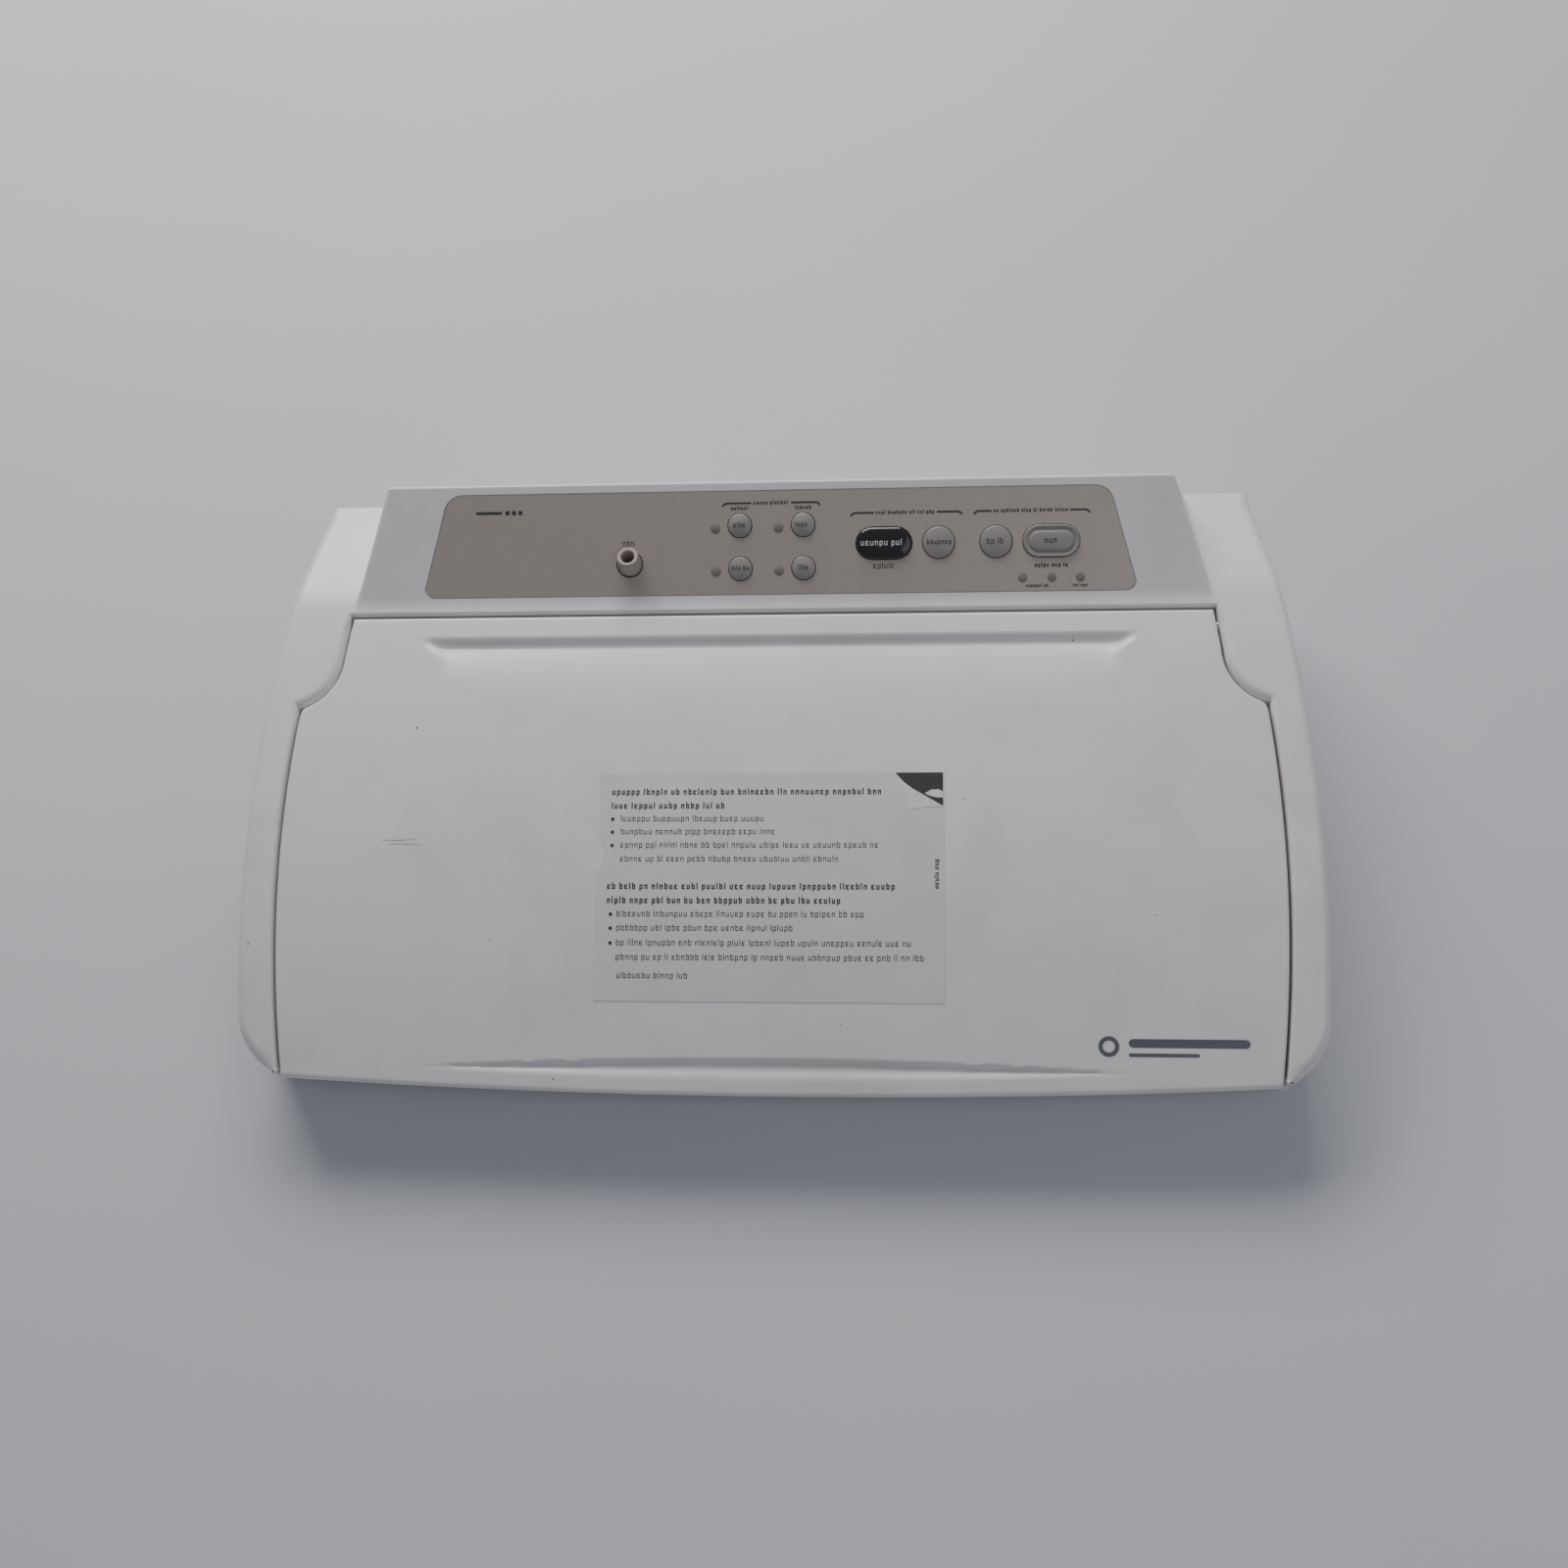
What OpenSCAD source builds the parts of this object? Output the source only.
// Countertop vacuum sealer: a low casing with two side arms and a raised control housing
// at the rear, closed by one wide curved lid that is hinged in front of the housing.
// Millimetres. +X to the right, +Y to the rear, +Z up, origin on the table under the centre.

/* [Casing] */
// Half width of the casing at its widest place
half_w = 216; // [210:1:222]
// Radius of the bowed side walls, seen from above
side_r = 918; // [860:1:980]
// Y of the widest place
side_y = -65; // [-75:1:-55]
// Radius of the front corners
front_corner_r = 24; // [20:1:28]
// Y of the centres of the front corners
front_corner_y = -95.5; // [-98:0.5:-93]
// Y of the front edge on the centre line
front_y = -124.8; // [-125.5:0.1:-124]
// Radius of the bowed front edge
front_r = 3460; // [3200:10:3800]
// Y of the rear face
rear_y = 126; // [125:0.5:128]
// Radius of the rear corners
rear_corner_r = 10; // [8:1:14]
// Wall of the mouldings
wall = 2.5; // [2:0.1:3]
// Underside of the lower casing
tub_z = 3; // [2:0.5:4]
// Height where the upper and lower casing meet
split_z = 24; // [23:0.5:25]

/* [Roof] */
// Radius of the lid's curve, seen from the side
roof_r = 600; // [560:5:650]
// Y of the crest of that curve
roof_y = 103.8; // [100:0.1:108]
// Height of the crest
roof_z = 80.3; // [79:0.1:82]
// How far the arms stand above the lid
arm_rise = 0.5; // [0.3:0.1:0.8]

/* [Lid] */
// Y of the lid's rear edge
lid_rear_y = 64.5; // [64:0.1:65]
// Half width of the lid at its widest place
lid_half_w = 200.3; // [199:0.1:201]
// Radius of the lid's bowed sides
lid_side_r = 667; // [640:1:700]
// Y of the lid's widest place
lid_side_y = -52; // [-56:1:-48]
// Y of the lid's front edge on the centre line
lid_front_y = -125.4; // [-126:0.1:-125]
// Radius of the lid's bowed front edge
lid_front_r = 3660; // [3400:10:3900]
// Half width of the lid at its rear edge
lid_neck = 177.5; // [176:0.5:179]
// Centre of the hollow corner that the arm fills
notch_x = 203; // [202:0.5:204]
// Y of that centre
notch_y = 47; // [46:0.5:48]
// Radius of the hollow corner
notch_r = 23.5; // [23:0.1:24]
// Thickness of the lid
lid_skin = 2.4; // [2:0.1:2.6]
// Seam between the lid and the casing
seam = 1.2; // [1:0.1:1.4]
// Height of the lid's front lip above the table
lip_z = 28; // [27.5:0.1:29]
// How far the front faces lean inwards for every millimetre down
front_lean = 0.2; // [0.1:0.01:0.25]

/* [Hinge] */
// Y of the hinge line
hinge_y = 59; // [58.5:0.1:59.5]
// Height of the hinge line
hinge_z = 74; // [73.5:0.1:74.5]
// Radius of the hinge pins
pin_r = 2; // [1.8:0.1:2.2]

/* [Control housing] */
// Y of the foot of the sloping panel
panel_y = 68.5; // [68:0.5:69]
// Height of the foot of the panel
panel_z = 79.5; // [79:0.5:80]
// Tilt of the panel
panel_tilt = 28.8; // [27:0.1:30]
// Length of the panel up its slope
panel_len = 50.3; // [49:0.1:52]
// Half width of the metal plate at its lower edge
plate_low = 146.5; // [144:0.5:148]
// Half width of the metal plate at its upper edge
plate_high = 138; // [136:0.5:140]
// Diameter of the small round buttons
small_button_d = 9.6; // [9:0.1:10]
// Diameter of the large round buttons
large_button_d = 12.9; // [12:0.1:13.2]
// Length of the oblong buttons
oblong_l = 22.8; // [22:0.1:23.4]
// Width of the oblong buttons
oblong_w = 13; // [12:0.1:13.4]
// Travel of every button
button_travel = 1.2; // [0.8:0.1:1.4]

/* [Bag space] */
// Height of the deck under the lid
deck_z = 26; // [25.5:0.1:26.5]
// Radius of the trough that holds the bag roll
well_r = 35.4; // [33:0.1:35.6]
// Half length of the trough
well_half = 150; // [146:1:152]
// Half length of the sealing strip
strip_half = 152; // [148:1:153]

/* [Latch] */
// Y of the latch shaft
latch_y = -26; // [-27:0.5:-25]
// Height of the latch shaft
latch_z = 15; // [14.5:0.5:15.5]
// Angle of the lever above the horizontal when unlocked
latch_turn = 50; // [45:1:52]

/* [Hidden] */
$fn = 48;

fit = 0.05;      // radial play of a shaft in its bearing
gap = 0.3;       // play between separate mouldings
far = 400;       // longer than the object

// ---- outlines seen from above --------------------------------------------------------

function arc(c, r, from, to, n) =
    [for (i = [0:n]) c + r * [cos(from + (to - from) * i / n), sin(from + (to - from) * i / n)]];
function mirrored(pts) = [for (i = [len(pts) - 1:-1:0]) [-pts[i][0], pts[i][1]]];

side_c = [half_w - side_r, side_y];
front_c = [side_c[0] + sqrt(pow(side_r - front_corner_r, 2) - pow(front_corner_y - side_y, 2)),
    front_corner_y];
rear_c = [side_c[0] + sqrt(pow(side_r - rear_corner_r, 2) - pow(rear_y - rear_corner_r - side_y, 2)),
    rear_y - rear_corner_r];
function heading(c, from) = atan2(c[1] - from[1], c[0] - from[0]);

// Outline of the whole casing, moved inwards by g
function casing_half(g) = concat(
    [for (i = [0:5]) [front_c[0] * i / 6, front_y + g + pow(front_c[0] * i / 6, 2) / (2 * front_r)]],
    arc(front_c, front_corner_r - g, -87, heading(front_c, side_c), 9),
    arc(side_c, side_r - g, heading(front_c, side_c) + 0.4, heading(rear_c, side_c) - 0.4, 12),
    arc(rear_c, rear_corner_r - g, heading(rear_c, side_c), 90, 6));
function casing_plan(g) = concat(casing_half(g), mirrored(casing_half(g)));

// An outline with its front edge moved back by d; the corners behind it move less
lean_from = -100;
lean_full = -120;
function leaned(pts, d) = [for (p = pts)
    [p[0], p[1] + d * max(0, min(1, (lean_from - p[1]) / (lean_from - lean_full)))]];
// The front faces start to lean at this height, the lid's front edge
lean_z = roof(lid_front_y, 0);

// A block between two outlines with the same number of points, at heights z0 and z1
module drafted(low, z0, high, z1) {
    n = len(low);
    polyhedron(
        points = concat([for (p = low) [p[0], p[1], z0]], [for (p = high) [p[0], p[1], z1]]),
        faces = concat([[for (i = [0:n - 1]) i]], [[for (i = [n - 1:-1:0]) n + i]],
            [for (i = [0:n - 1]) [i, n + i, n + (i + 1) % n]],
            [for (i = [0:n - 1]) [i, n + (i + 1) % n, (i + 1) % n]]));
}
module leaning_block(plan, z0, z1)
    drafted(leaned(plan, front_lean * (lean_z - z0)), z0, leaned(plan, front_lean * (lean_z - z1)), z1);

// Outline of the lid, moved inwards by g
lid_side_c = [lid_half_w - lid_side_r, lid_side_y];
function lid_side_x(y, g) = lid_side_c[0] + sqrt(pow(lid_side_r - g, 2) - pow(y - lid_side_y, 2));
function lid_front(x, g) = lid_front_y + g + pow(x, 2) / (2 * lid_front_r);
function notch_end(g) = 180 + acos((notch_x - lid_side_x(notch_y - notch_r, g)) / (notch_r + g));
function lid_half(g) = concat(
    [for (i = [0:8]) [lid_side_x(-120, g) * i / 8, lid_front(lid_side_x(-120, g) * i / 8, g)]],
    [for (y = [-100:20:0]) [lid_side_x(y, g), y]],
    arc([notch_x, notch_y], notch_r + g, notch_end(g), 180, 10),
    [[lid_neck - g, lid_rear_y - g]]);
function lid_plan(g) = concat(lid_half(g), mirrored(lid_half(g)));

// ---- outlines seen from the side -----------------------------------------------------

function roof(y, drop) = roof_z - roof_r + sqrt(pow(roof_r - drop, 2) - pow(y - roof_y, 2));
function roof_line(from, to, drop, n) =
    [for (i = [0:n]) let (y = from + (to - from) * i / n) [y, roof(y, drop)]];

// Stretches a side outline across the object, or over the stretch from x0 to x1
module across(w) rotate([90, 0, 90]) translate([0, 0, -w / 2]) linear_extrude(w) children();
module between(x0, x1) rotate([90, 0, 90]) translate([0, 0, x0]) linear_extrude(x1 - x0) children();
module both_sides() {
    children();
    mirror([1, 0, 0]) children();
}
module box(x0, x1, y0, y1, z0, z1) translate([x0, y0, z0]) cube([x1 - x0, y1 - y0, z1 - z0]);
module rod_x(x0, x1, y, z, r) translate([x0, y, z]) rotate([0, 90, 0]) cylinder(r = r, h = x1 - x0);
module post(x, y, z0, z1, r) translate([x, y, z0]) cylinder(r = r, h = z1 - z0);

// ---- lower casing --------------------------------------------------------------------

floor_z = tub_z + wall;
pad_top = 9;
screw_spots = [[208, -84], [200, 42], [184, 106]];
foot_spots = [[172, -98], [172, 98]];
gland_x = 150;
gland_z = 15;
bezel_y0 = latch_y - 36;
bezel_y1 = latch_y + 12;
bezel_z0 = 6;
bezel_z1 = 42;
bezel_x0 = 206;
bezel_x1 = 214.3;
// Half length of the rib that stiffens the floor under the sealing strip
rib_half = 100;

module bezel_window() box(half_w - 5, half_w + 5, bezel_y0, bezel_y1, bezel_z0, bezel_z1);

module base_tub() color("#e9e6e4") difference() {
    union() {
        difference() {
            leaning_block(casing_plan(0), tub_z, split_z);
            leaning_block(casing_plan(wall), floor_z, split_z + 4);
        }
        both_sides() for (p = screw_spots) post(p[0], p[1], tub_z, pad_top, 5);
        box(-rib_half, rib_half, -95, -92, floor_z - 0.5, 18);
    }
    both_sides() for (p = screw_spots) {
        post(p[0], p[1], 0, 20, 1.7);
        post(p[0], p[1], 0, 6.5, 3.3);
    }
    both_sides() for (p = foot_spots) post(p[0], p[1], 0, 20, 3);
    bezel_window();
    translate([gland_x, rear_y + 1, gland_z]) rotate([90, 0, 0]) cylinder(r = 5, h = 8);
    translate([gland_x, rear_y + 1, gland_z]) rotate([90, 0, 0]) cylinder(r = 8, h = 2.5);
}

module feet() color("#3a3a3c") both_sides() for (p = foot_spots) {
    post(p[0], p[1], 0, tub_z, 8);
    post(p[0], p[1], tub_z, floor_z + 2, 2.95);
}

module base_screws() color("#8d8f92") both_sides() for (p = screw_spots) difference() {
    union() {
        post(p[0], p[1], 4, 6.5, 3);
        post(p[0], p[1], 6.4, 22, 1.45);
    }
    box(p[0] - 2, p[0] + 2, p[1] - 0.4, p[1] + 0.4, 3.5, 5);
    box(p[0] - 0.4, p[0] + 0.4, p[1] - 2, p[1] + 2, 3.5, 5);
}

// The cord leaves through this bushing in the rear wall
module cord_gland() color("#2c2c2e") translate([gland_x, rear_y, gland_z]) rotate([90, 0, 0])
    difference() {
        union() {
            cylinder(r = 7.8, h = 1.4);
            cylinder(r = 4.9, h = 6);
            translate([0, 0, 2.6]) cylinder(r = 6, h = 3.4);
        }
        translate([0, 0, -1]) cylinder(r = 3.4, h = 10);
    }

// ---- upper casing --------------------------------------------------------------------

ridge = [panel_y + panel_len * cos(panel_tilt), panel_z + panel_len * sin(panel_tilt)];
shoulder_y = 75;
shoulder_drop = 8;
// Where the shoulders turn down into the rear wall
rear_bend = [122.5, 73];
hull_foot = 66.5;
house_half = 178;

// Side outline of the arms and the rear shoulders
function shoulder_z(y, t) = roof(shoulder_y, t - arm_rise) - (y - shoulder_y) * tan(shoulder_drop);
function arm_profile(t) = concat([[-140, split_z - 20]],
    roof_line(-130, shoulder_y, t - arm_rise, 24),
    [[rear_bend[0] - t, shoulder_z(rear_bend[0] - t, t)],
     [rear_y - t, split_z], [rear_y - t, split_z - 20]]);
// Side outline of the control housing
function housing_profile(t) = [[hull_foot + 1.6 * t, split_z - t], [hull_foot + 1.6 * t, 66],
    [65.7 + 1.9 * t, panel_z - 0.7 - t], [65.7 + 1.9 * t, panel_z - t], [panel_y + t * 0.5, panel_z - t],
    [ridge[0] - 0.6 * t, ridge[1] - 1.4 * t], [ridge[0] + 1.5 - 0.8 * t, ridge[1] - 0.4 - 1.2 * t],
    [ridge[0] + 2.8 - t, ridge[1] - 2.4 - t], [rear_bend[0] - t, rear_bend[1]], [rear_y - t, split_z - t]];
// Sloping end walls of the housing: everything outside them is cut away
end_x = 177.4;
end_turn = [0, -18.7, 10.4];
module housing_ends(t) both_sides() translate([end_x - t, panel_y, panel_z]) rotate(end_turn)
    translate([0, -far / 2, -far / 2]) cube([far, far, far]);

module arms(t) intersection() {
    translate([0, 0, split_z - (t > 0 ? 1 : 0)]) linear_extrude(100) difference() {
        polygon(casing_plan(t));
        polygon(lid_plan(-seam - t));
        translate([-100, -200]) square([200, 100]);
        translate([-house_half - t, -150]) square([2 * (house_half + t), 150 + hull_foot + 1.6 * t]);
    }
    across(2 * far) polygon(arm_profile(t));
}
module housing(t) difference() {
    across(2 * house_half) polygon(housing_profile(t));
    housing_ends(t);
}

// Places its children on the sloping panel: x across, y up the slope, z out of it
module on_panel() translate([0, panel_y, panel_z]) rotate([panel_tilt, 0, 0]) children();

column_x = [-14, 12];
row_s = [14.7, 32.2];
mid_s = 24.2;
vacuum_x = 45;
canister_x = 67.2;
pulse_x = 90.4;
seal_x = 112.6;
lens_r = 2;
progress_r = 1.75;
progress_x = [101.2, 112.9, 124.4];
progress_s = 9.5;
port_x = -60;
port_s = 17.2;
port_y = panel_y + port_s * cos(panel_tilt);
port_z = panel_z + port_s * sin(panel_tilt);
plate_t = 0.8;

function stadium(l, w, n) = concat(
    arc([(l - w) / 2, 0], w / 2, -90, 90, n), arc([(w - l) / 2, 0], w / 2, 90, 270, n));

module panel_holes(grow, depth) on_panel() translate([0, 0, -depth]) {
    for (x = column_x, s = row_s) {
        translate([x, s, 0]) cylinder(d = small_button_d + 2 * grow, h = 2 * depth);
        translate([x - 10.1, s - 1.1, 0]) cylinder(r = lens_r + fit, h = 2 * depth);
    }
    for (x = [canister_x, pulse_x]) translate([x, mid_s, 0])
        cylinder(d = large_button_d + 2 * grow, h = 2 * depth);
    for (x = [vacuum_x, seal_x]) translate([x, mid_s, 0])
        linear_extrude(2 * depth) polygon(stadium(oblong_l + 2 * grow, oblong_w + 2 * grow, 8));
    for (x = progress_x) translate([x, progress_s, 0]) cylinder(r = progress_r + fit, h = 2 * depth);
    translate([port_x, port_s, 0]) cylinder(r = 5.6, h = 2 * depth);
}

// Outline of the metal plate on the panel, moved inwards by g
function plate_half(g) = concat(
    arc([plate_low - 4, 8.3], 4 - g, -90, -8, 5),
    arc([plate_high - 8.6, 38], 8 - g, 10, 90, 7));
function plate_plan(g) = concat(plate_half(g), mirrored(plate_half(g)));

board_w = [-14, -12.4];
board_post_spots = [[-34, 8], [-34, 38], [134, 18], [134, 38]];

module top_cover() color("#efedeb") difference() {
    union() {
        difference() {
            union() {
                arms(0);
                housing(0);
            }
            arms(wall);
            housing(wall);
        }
        both_sides() {
            rod_x(lid_neck + 1.8, 191, hinge_y, hinge_z, 4.6);
            for (p = screw_spots) post(p[0], p[1], pad_top,
                roof(p[1], 0) - 1 - max(0, p[1] + 3.2 - shoulder_y) * tan(shoulder_drop), 3.2);
        }
        on_panel() for (p = board_post_spots) translate([p[0], p[1], board_w[1]])
            cylinder(r = 3, h = -board_w[1] - 1);
    }
    rod_x(-lid_neck - 1.8, lid_neck + 1.8, hinge_y, hinge_z, 8.7);
    rod_x(-195, 195, hinge_y, hinge_z, pin_r + 0.02);
    both_sides() for (p = screw_spots) post(p[0], p[1], 0, 26, 1.5);
    bezel_window();
    on_panel() translate([0, 0, -plate_t]) linear_extrude(4) polygon(plate_plan(-0.25));
    panel_holes(gap, 8);
    on_panel() for (p = board_post_spots) translate([p[0], p[1], board_w[1] - 1]) cylinder(r = 1, h = 7);
}

module control_plate() color("#b9b5b0") difference() {
    on_panel() translate([0, 0, -plate_t]) linear_extrude(plate_t) polygon(plate_plan(0));
    panel_holes(gap, 4);
}

module lens(x, s, r) on_panel() translate([x, s, -4.5]) intersection() {
    cylinder(r = r, h = 5);
    translate([0, 0, 4.9 - 6]) sphere(r = 6);
}
module setting_lenses() color("#9a9793") for (x = column_x, s = row_s) lens(x - 10.1, s - 1.1, lens_r);
module progress_lenses() color("#9a9793") for (x = progress_x) lens(x, progress_s, progress_r);

module hinge_pins() color("#b4b7ba") both_sides() {
    rod_x(165, 191, hinge_y, hinge_z, pin_r);
    rod_x(191, 193, hinge_y, hinge_z, 2.5);
}

// ---- buttons -------------------------------------------------------------------------

// Each button is a cap that stands in the plate, a flange under the casing and a stem that
// reaches the switch on the board
cap_rise = 1.1;
flange_w = -4.3;
switch_top = -10.3;

module button_stem(r) {
    translate([0, 0, switch_top + button_travel + 0.1]) cylinder(r = 2.2, h = 6);
    translate([0, 0, flange_w - 1.2]) cylinder(r = r + 1, h = 1.2);
}
module round_button(x, s, d) on_panel() translate([x, s, 0]) {
    button_stem(d / 2);
    translate([0, 0, flange_w - 0.1]) intersection() {
        cylinder(d = d, h = cap_rise - flange_w + 0.1);
        translate([0, 0, cap_rise - flange_w + 0.1 - 2.2 * d]) sphere(r = 2.2 * d, $fn = 96);
    }
}
module oblong_button(x, s) on_panel() translate([x, s, 0]) {
    button_stem(oblong_w / 2);
    translate([0, 0, flange_w - 0.1]) linear_extrude(0.7 - flange_w + 0.1)
        polygon(stadium(oblong_l, oblong_w, 8));
    translate([0, 0, 0.7]) linear_extrude(0.4) polygon(stadium(oblong_l - 1, oblong_w - 1, 8));
}

module fast_button() color("#a8a6a3") round_button(column_x[0], row_s[1], small_button_d);
module moist_button() color("#a8a6a3") round_button(column_x[1], row_s[1], small_button_d);
module normal_button() color("#a8a6a3") round_button(column_x[0], row_s[0], small_button_d);
module dry_button() color("#a8a6a3") round_button(column_x[1], row_s[0], small_button_d);
module canister_button() color("#a8a6a3") round_button(canister_x, mid_s, large_button_d);
module pulse_button() color("#a8a6a3") round_button(pulse_x, mid_s, large_button_d);
module vacuum_seal_button() color("#1c1c1e") oblong_button(vacuum_x, mid_s);
module seal_button() color("#a8a6a3") oblong_button(seal_x, mid_s);

// ---- control board -------------------------------------------------------------------

module control_board() color("#3f6b46") difference() {
    on_panel() translate([-40, 4, board_w[0]]) cube([180, 38, board_w[1] - board_w[0]]);
    on_panel() for (p = board_post_spots) translate([p[0], p[1], board_w[0] - 1]) cylinder(r = 1.1, h = 4);
}
module board_screws() color("#8d8f92") on_panel() for (p = board_post_spots) translate([p[0], p[1], 0]) {
    translate([0, 0, board_w[0] - 1.2]) cylinder(r = 2.2, h = 1.2);
    translate([0, 0, board_w[0]]) cylinder(r = 0.95, h = 6);
}
module tact_switches() color("#2b2b2d") on_panel() {
    for (x = column_x, s = row_s) translate([x - 3, s - 3, board_w[1]]) cube([6, 6, 2.1]);
    for (x = [vacuum_x, canister_x, pulse_x, seal_x]) translate([x - 3, mid_s - 3, board_w[1]])
        cube([6, 6, 2.1]);
}
module board_leds() color("#c9c4b4") on_panel() {
    for (x = column_x, s = row_s) translate([x - 10.1, s - 1.1, board_w[1]]) cylinder(r = 1.5, h = 5);
    for (x = progress_x) translate([x, progress_s, board_w[1]]) cylinder(r = 1.5, h = 5);
}

// ---- accessory port ------------------------------------------------------------------

port_bore_r = 2.65;
port_top = port_z + 6;
module accessory_port() color("#cfc9c0") difference() {
    union() {
        translate([port_x, port_y, port_z - 3]) cylinder(r1 = 4.3, r2 = 4.1, h = 9);
        on_panel() translate([port_x, port_s, -5.5]) cylinder(r = 5.3, h = 3.9);
        on_panel() translate([port_x, port_s, -5.5]) cylinder(r = 7, h = 2.5);
        post(port_x, port_y, 72, port_z - 4, 3.2);
    }
    post(port_x, port_y, port_top - 12, port_top + 1, port_bore_r);
    post(port_x, port_y, 70, port_top - 11, 1.4);
}
module tube(p, q, r, bore) {
    v = q - p;
    translate(p) rotate([0, acos(v[2] / norm(v)), atan2(v[1], v[0])]) difference() {
        cylinder(r = r, h = norm(v));
        translate([0, 0, -1]) cylinder(r = bore, h = norm(v) + 2);
    }
}
module port_hose() color("#d8d6d0") {
    tube([port_x, port_y, 42], [port_x, port_y, 76], 4.6, 3.25);
    tube([-73, port_y, 62], [port_x - 4.4, port_y, 62], 3.2, 2);
}

// ---- deck, trough and tray under the lid ---------------------------------------------

well_c = [20, 44];
well_front_z = 32;
well_rear_z = 62;
tray = [[-81.5, -36.5], 149.5];
bar_y = [-104, -96];
hook_x = [175, 179];

module inner_deck() color("#dedbd8") difference() {
    union() {
        translate([0, 0, split_z]) linear_extrude(deck_z - split_z) intersection() {
            polygon(lid_plan(-seam + 0.2));
            polygon(leaned(casing_plan(0.4), front_lean * (lean_z - split_z)));
        }
        between(-well_half - 2, well_half + 2) polygon(concat([[57, well_rear_z]],
            arc(well_c, well_r + 2, 0, -180 + asin((well_c[1] - well_front_z) / (well_r + 2)), 20)));
        box(-well_half - 2, well_half + 2, 55, 65.3, well_rear_z - 2, well_rear_z);
        box(-tray[1] - 2.5, tray[1] + 2.5, tray[0][0] - 2.5, tray[0][1] + 2.5, 10, deck_z);
    }
    between(-well_half, well_half) polygon(concat([[-14, 90], [55, 90]],
        arc(well_c, well_r, 0, -180 + asin((well_c[1] - well_front_z) / well_r), 20)));
    box(-tray[1] - 0.5, tray[1] + 0.5, tray[0][0] - 0.5, tray[0][1] + 0.5, 12, 40);
    box(-strip_half - 4.2, strip_half + 4.2, bar_y[0] - 0.2, bar_y[1] + 0.2, 20, 40);
    both_sides() box(hook_x[0] - 1.5, hook_x[1] + 1.5, latch_y - 18, latch_y + 22, 20, 40);
    both_sides() for (y = [-108, 4]) post(186, y, 20, 40, 1.7);
    box(-153, -149.5 - 0.6, -62.5, -57.5, 18.6, 23.4);
}
module deck_screws() color("#8d8f92") both_sides() for (y = [-108, 4]) {
    post(186, y, deck_z, deck_z + 1.8, 3);
    post(186, y, 16, deck_z, 1.5);
}
module drip_tray() color("#c9c7c4") difference() {
    box(-tray[1], tray[1], tray[0][0], tray[0][1], 12, deck_z + 0.6);
    box(-tray[1] + 1.5, tray[1] - 1.5, tray[0][0] + 1.5, tray[0][1] - 1.5, 13.5, 40);
}

// Outline of a rubber ring round the tray, as thick as t
ring_outer = [158, -88.5, -31.5];
module ring(t, z0, z1) difference() {
    box(-ring_outer[0], ring_outer[0], ring_outer[1], ring_outer[2], z0, z1);
    box(-ring_outer[0] + t, ring_outer[0] - t, ring_outer[1] + t, ring_outer[2] - t, z0 - 1, z1 + 1);
}
module lower_gasket() color("#4b4d50") ring(4.2, deck_z, 28.6);
module upper_gasket() color("#4b4d50") ring(4.2, 28.9, 31.5);

module heater_bar() color("#6b4a34")
    box(-strip_half - 4, strip_half + 4, bar_y[0], bar_y[1], 20, deck_z + 1.4);
module heat_strip() color("#b9b6ae") box(-strip_half, strip_half, -101.5, -98.5, 27.4, 27.55);
module tape_cover() color("#b58b62") box(-strip_half - 2, strip_half + 2, -103, -97, 27.55, 27.75);

// ---- bag cutter ----------------------------------------------------------------------

rail_y = [-29.5, -17.5];
park_x = 140;
module cutter_rail() color("#d5d2cf") difference() {
    box(-165, 165, rail_y[0], rail_y[1], deck_z, 30);
    box(-158, 158, -25, -22, 27.2, 40);
}
module cutter_slider() color("#3f6fb0") difference() {
    union() {
        box(park_x - 13, park_x + 13, -28, -19, 30.3, 34);
        box(park_x - 9, park_x + 9, -27, -20, 33.9, 38);
        box(park_x - 8, park_x + 8, -24.7, -22.3, 28, 30.4);
    }
    box(park_x - 5.5, park_x + 5.5, -23.7, -23.3, 20, 36);
}
module cutter_blade() color("#c8cbce") box(park_x - 5, park_x + 5, -23.65, -23.35, 27.6, 35.8);

// ---- vacuum pump ---------------------------------------------------------------------

pump_y = 96;
pump_z = 30;
crank_x = [-100, -76];
throw_r = 2.5;
module pump_motor() color("#8f9295") difference() {
    union() {
        rod_x(-152, -104, pump_y, pump_z, 17.5);
        rod_x(-104, crank_x[0], pump_y, pump_z, 9);
    }
    rod_x(-149, -99, pump_y, pump_z, 1.6 + fit);
}
module pump_body() color("#55585c") difference() {
    union() {
        box(crank_x[0], crank_x[1], pump_y - 20, pump_y + 20, 10, 50);
        post(-88, pump_y, 49, 62, 13);
    }
    box(crank_x[0] + 3, crank_x[1] - 3, pump_y - 16, pump_y + 16, 12.5, 47.5);
    rod_x(crank_x[0] - 1, crank_x[0] + 4, pump_y, pump_z, 1.6 + fit);
    post(-88, pump_y, 46, 70, 10);
}
module pump_head() color("#6a6d71") {
    box(-101, -76, pump_y - 14, pump_y + 13, 62, 70);
    box(-93, -83, port_y - 3, pump_y - 13, 62, 66);
    rod_x(-76.5, -73, pump_y - 12.4, 62, 1.9);
}
module pump_cradle() color("#c2c4c6") difference() {
    box(-142, -112, pump_y - 14, pump_y + 14, floor_z, 20);
    rod_x(-200, -60, pump_y, pump_z, 17.5 + 0.1);
    box(-139, -115, pump_y - 20, pump_y + 20, floor_z + 1.5, 30);
}
module pump_mounts() color("#333436")
    for (x = [-96, -80], y = [pump_y - 15, pump_y + 15]) post(x, y, floor_z, 10, 3.5);
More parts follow.
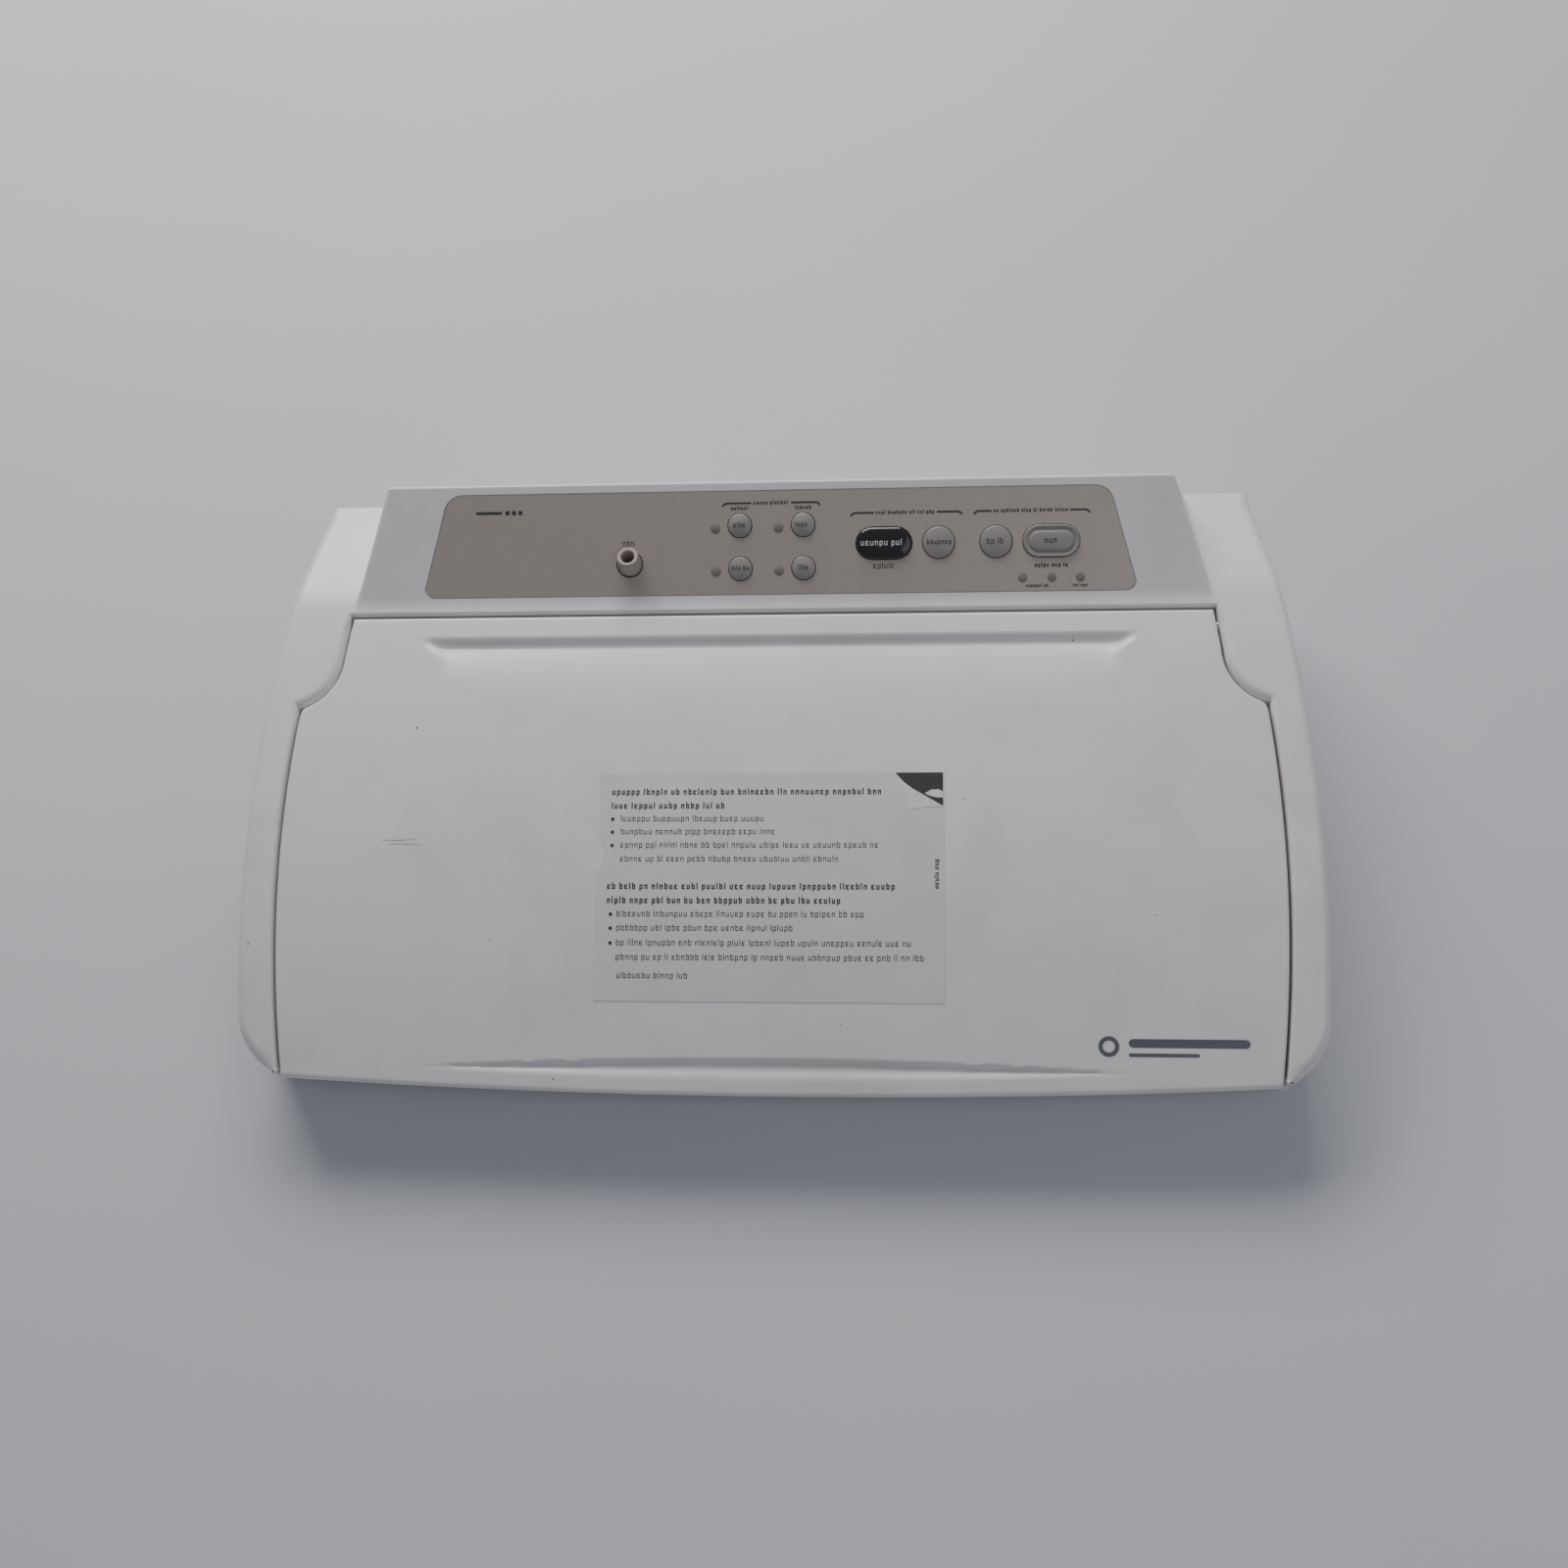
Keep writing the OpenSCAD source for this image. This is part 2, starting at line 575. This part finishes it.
module motor_shaft() color("#c4c7ca") {
    rod_x(-148, -82, pump_y, pump_z, 1.6);
}
module eccentric() color("#9fa2a5") difference() {
    rod_x(-92, -84, pump_y, pump_z + throw_r, 6);
    rod_x(-100, -80, pump_y, pump_z, 1.6 + 0.02);
}
module pump_yoke() color("#e4e1da") {
    difference() {
        box(-92.5, -83.5, pump_y - 13, pump_y + 13, pump_z - 12.8, pump_z + 12.8);
        box(-95, -80, pump_y - 11.3, pump_y + 11.3, pump_z - 11.3, pump_z + 11.3);
    }
    post(-88, pump_y, pump_z + 12.5, 53, 3);
    post(-88, pump_y, 53, 57, 9.7);
}

// ---- valve, hose and transformer -----------------------------------------------------

module solenoid_valve() color("#7a8086") {
    box(port_x - 11, port_x + 11, port_y - 9, port_y + 9, floor_z, 12);
    post(port_x, port_y, 12, 36, 9);
    post(port_x, port_y, 36, 48, 3.1);
}
hose_z = 21.2;
hose_r = 2.3;
hose_route = [[-152.4, -60, hose_z], [-168, -60, hose_z], [-168, 90, hose_z], [-168, 90, 66],
    [-101, 90, 66]];
module vacuum_hose() color("#dad8d2") {
    for (i = [0:3]) {
        v = hose_route[i + 1] - hose_route[i];
        translate(hose_route[i]) rotate([0, acos(v[2] / norm(v)), atan2(v[1], v[0])])
            cylinder(r = hose_r, h = norm(v));
    }
    for (i = [1:3]) translate(hose_route[i]) sphere(r = hose_r);
}
module transformer_core() color("#5d6064") difference() {
    box(72, 132, 86, 112, floor_z, 56);
    for (x = [82, 108]) box(x, x + 14, 80, 120, 15, 46);
}
module transformer_coil() color("#b0603a") difference() {
    box(82.3, 121.7, 78, 119, 15.3, 45.7);
    box(95.8, 108.2, 85.8, 112.2, 10, 50);
}

// ---- lid -----------------------------------------------------------------------------

// Lower edge of the lid's skirt, seen from the side
skirt_line = [[lid_rear_y + 1, 69], [52, 68], [40, 62], [-100, lip_z], [-140, lip_z]];
liner_half = 163;
liner_z = 31.5;
liner_back = -30.5;
liner_t = 2;
function liner_roof(y) = 57 + (y - liner_back) * 0.172;
liner_end = 46;
lid_screw_spots = [[150, -22], [50, -22], [150, 36], [50, 36]];
// Half lengths of the finger scoop at the rear edge and of the groove at the front edge
scoop_half = 146;
groove_half = 134;

module lid_block(g, drop) intersection() {
    leaning_block(lid_plan(g), 0, 120);
    across(2 * far) polygon(concat([[-150, -10]], roof_line(-130, 70, drop, 24), [[70, -10]]));
}
module lid_shell() color("#f1efed") difference() {
    union() {
        difference() {
            lid_block(0, 0);
            lid_block(lid_skin, lid_skin);
            across(2 * far) polygon(concat([[-140, -20]], [[70, -20]], [[70, 69]], skirt_line));
        }
        both_sides() {
            rod_x(163, lid_neck - 1, hinge_y, hinge_z, 4.3);
            for (p = lid_screw_spots) post(p[0], p[1], liner_roof(p[1]) + 0.9, roof(p[1], 2), 3.6);
            box(165, 174, -38, -20, 57, 63);
        }
    }
    both_sides() {
        rod_x(160, 200, hinge_y, hinge_z, pin_r + fit);
        for (p = lid_screw_spots) post(p[0], p[1], 50, roof(p[1], 2) - 1.8, 1.3);
    }
    between(-scoop_half, scoop_half) polygon([[52, 90], [52, roof(52, 1.3)], [46, roof(46, 1.1)],
        [20, roof(20, -0.05)], [20, 90]]);
    between(-groove_half, groove_half) polygon([[-112, roof(-112, -0.05)], [-114.5, roof(-114.5, 0.9)],
        [-119, roof(-119, -0.05)], [-115, 60]]);
}
module lid_liner() color("#dddad7") difference() {
    across(2 * liner_half) polygon([[-118, liner_z], [liner_back, liner_z],
        [liner_back, liner_roof(liner_back) - liner_t], [liner_end, liner_roof(liner_end) - liner_t],
        [liner_end, liner_roof(liner_end)], [liner_back - liner_t, liner_roof(liner_back)],
        [liner_back - liner_t, liner_z + liner_t], [-118, liner_z + liner_t]]);
    both_sides() for (p = lid_screw_spots) post(p[0], p[1], 40, 80, 1.6);
}
module lid_screws() color("#8d8f92") both_sides() for (p = lid_screw_spots) {
    post(p[0], p[1], liner_roof(p[1]) - 4.6, liner_roof(p[1]) - 3.1, 3);
    post(p[0], p[1], liner_roof(p[1]) - 3.2, roof(p[1], 2) - 2.2, 1.25);
}
module pad_holder() color("#c6c8ca") difference() {
    box(-strip_half - 6, strip_half + 6, bar_y[0] - 2, bar_y[1] + 2, 29.5, liner_z);
    box(-strip_half - 3, strip_half + 3, bar_y[0] + 1, bar_y[1] - 1, 20, 30.6);
}
module seal_pad() color("#b8503c")
    box(-strip_half - 2.8, strip_half + 2.8, bar_y[0] + 1.1, bar_y[1] - 1.1, 28.1, 30.6);

// A bar on each catch passes under the latch hook
bar_polar = [16.5, 100];
bar_at = [latch_y + bar_polar[0] * cos(bar_polar[1]), latch_z + bar_polar[0] * sin(bar_polar[1])];
module lid_catches() color("#a9acb0") both_sides() {
    box(167.5, 171.5, -36, -22, bar_at[1] - 2.5, 57);
    rod_x(171, 181, bar_at[0], bar_at[1], 1.5);
}
module instruction_label() color("#e6e2e4") between(-70, 68.5) polygon(concat(
    roof_line(-91, -3, -0.04, 10), roof_line(-3, -91, -0.2, 10)));

// ---- latch ---------------------------------------------------------------------------

module latch_shaft() color("#a9acb0") rod_x(-184, 208.5, latch_y, latch_z, 3);
module shaft_bearings() color("#d5d2cf") both_sides() difference() {
    box(158, 164, latch_y - 6, latch_y + 6, floor_z, 22);
    rod_x(150, 170, latch_y, latch_z, 3 + fit);
}
// Hook: a hub, a spoke and a curved finger that swings over the catch bar
module latch_hooks() color("#8c9094") both_sides() difference() {
    between(hook_x[0], hook_x[1]) translate([latch_y, latch_z]) {
        circle(r = 6);
        polygon([[0, 0], 22 * [cos(28), sin(28)], 22 * [cos(38), sin(38)], 3 * [cos(110), sin(110)]]);
        polygon(concat(arc([0, 0], 22, 28, 70, 8), arc([0, 0], 18.5, 70, 28, 8)));
    }
    rod_x(hook_x[0] - 1, hook_x[1] + 1, latch_y, latch_z, 3.02);
}
module latch_lever() color("#d9d6d3") difference() {
    union() {
        rod_x(208.5, 213.6, latch_y, latch_z, 6.4);
        translate([0, latch_y, latch_z]) rotate([-latch_turn, 0, 0]) between(208.5, 213.6)
            polygon(concat([[0, -5], [0, 5]], arc([-24, 0], 5, 90, 270, 8)));
    }
    rod_x(200, 210.5, latch_y, latch_z, 3.02);
    translate([0, latch_y, latch_z]) rotate([-latch_turn, 0, 0]) for (y = [-26, -23, -20])
        box(212.8, 215, y, y + 1.2, -3.5, 3.5);
}
module latch_bezel() color("#e3e0dd") difference() {
    box(bezel_x0, bezel_x1, bezel_y0 + 0.2, bezel_y1 - 0.2, bezel_z0 + 0.2, bezel_z1 - 0.2);
    box(bezel_x0 + 2, 230, bezel_y0 + 2.2, bezel_y1 - 2.2, bezel_z0 + 2.2, bezel_z1 - 2.2);
    rod_x(200, 220, latch_y, latch_z, 3.4);
}
module switch_cam() color("#e4e1da") difference() {
    between(188, 193) translate([latch_y, latch_z]) {
        circle(r = 5);
        rotate(-latch_turn) polygon([[0, -4.5], [7.8, -1.5], [7.8, 1.5], [0, 4.5]]);
    }
    rod_x(180, 200, latch_y, latch_z, 3.02);
}
module latch_switch() color("#2b2b2d") {
    box(186, 195, latch_y + 9.4, latch_y + 21, floor_z, 20);
    box(189, 192, latch_y + 8.4, latch_y + 9.4, 13, 17);
}

base_tub();
top_cover();
feet();
base_screws();
control_plate();
setting_lenses();
progress_lenses();
control_board();
tact_switches();
board_leds();
board_screws();
accessory_port();
port_hose();
inner_deck();
deck_screws();
drip_tray();
lower_gasket();
heater_bar();
heat_strip();
tape_cover();
cutter_rail();
pump_motor();
pump_body();
pump_head();
pump_cradle();
pump_mounts();
solenoid_valve();
vacuum_hose();
transformer_core();
transformer_coil();
cord_gland();
latch_bezel();
latch_switch();
shaft_bearings();
hinge_pins();
lid_shell();
lid_liner();
lid_screws();
upper_gasket();
pad_holder();
seal_pad();
lid_catches();
instruction_label();
latch_shaft();
latch_hooks();
latch_lever();
switch_cam();
cutter_slider();
cutter_blade();
motor_shaft();
eccentric();
pump_yoke();
fast_button();
moist_button();
normal_button();
dry_button();
vacuum_seal_button();
canister_button();
pulse_button();
seal_button();
